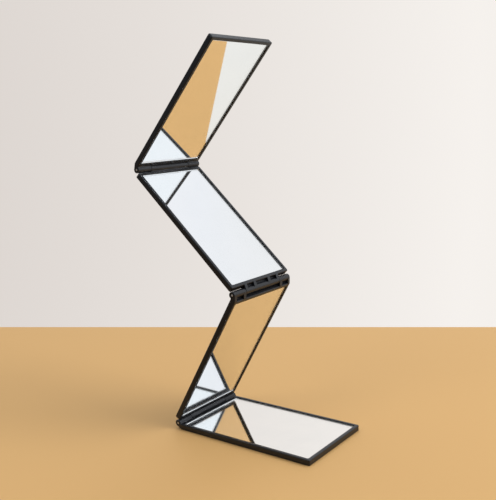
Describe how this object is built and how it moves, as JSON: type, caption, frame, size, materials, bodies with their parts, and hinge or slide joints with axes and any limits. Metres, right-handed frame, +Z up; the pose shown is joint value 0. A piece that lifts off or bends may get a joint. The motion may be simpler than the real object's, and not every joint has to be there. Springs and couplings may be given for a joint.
{
  "type": "folding makeup mirror",
  "caption": "Pocket makeup mirror whose framed leaves unfold like a concertina on moulded barrel hinges and stand in a zigzag on a flat base leaf.",
  "frame": {"origin": "centre of the base leaf's resting face, on the table", "axes": "+X along the base leaf from its hinge to its free end, +Y along the hinge axes to the user's right, +Z up"},
  "size_m": [0.1108, 0.052, 0.2149],
  "materials": {
    "black_plastic": "satin black moulded ABS with a fine spark texture",
    "mirror_glass": "silvered float glass",
    "pin_steel": "bright drawn steel wire",
    "foam_tape": "white double-sided foam tape"
  },
  "bodies": {
    "base_leaf": {"base_tray": "black_plastic", "base_mirror": "mirror_glass", "base_tape_left": "foam_tape", "base_tape_right": "foam_tape", "base_hinge_pin_left": "pin_steel", "base_hinge_pin_right": "pin_steel"},
    "lower_leaf": {"lower_tray": "black_plastic", "lower_mirror": "mirror_glass", "lower_tape_left": "foam_tape", "lower_tape_right": "foam_tape", "middle_hinge_pin_left": "pin_steel", "middle_hinge_pin_right": "pin_steel"},
    "upper_leaf": {"upper_tray": "black_plastic", "upper_mirror": "mirror_glass", "upper_tape_left": "foam_tape", "upper_tape_right": "foam_tape"},
    "top_leaf": {"top_tray": "black_plastic", "top_mirror": "mirror_glass", "top_tape_left": "foam_tape", "top_tape_right": "foam_tape", "top_hinge_pin_left": "pin_steel", "top_hinge_pin_right": "pin_steel"}
  },
  "joints": [
    {"name": "base_fold", "type": "hinge", "parent": "base_leaf", "child": "lower_leaf", "pos_m": [-0.0451, 0, 0.00335], "axis": [0, -1, 0], "range_deg": [-59.5, 120.5]},
    {"name": "middle_fold", "type": "hinge", "parent": "lower_leaf", "child": "upper_leaf", "pos_m": [-0.00234, 0, 0.08285], "axis": [0, 1, 0], "range_deg": [-102.5, 77.5]},
    {"name": "top_fold", "type": "hinge", "parent": "upper_leaf", "child": "top_leaf", "pos_m": [-0.06592, 0, 0.14692], "axis": [0, -1, 0], "range_deg": [-91.5, 88.5]}
  ]
}
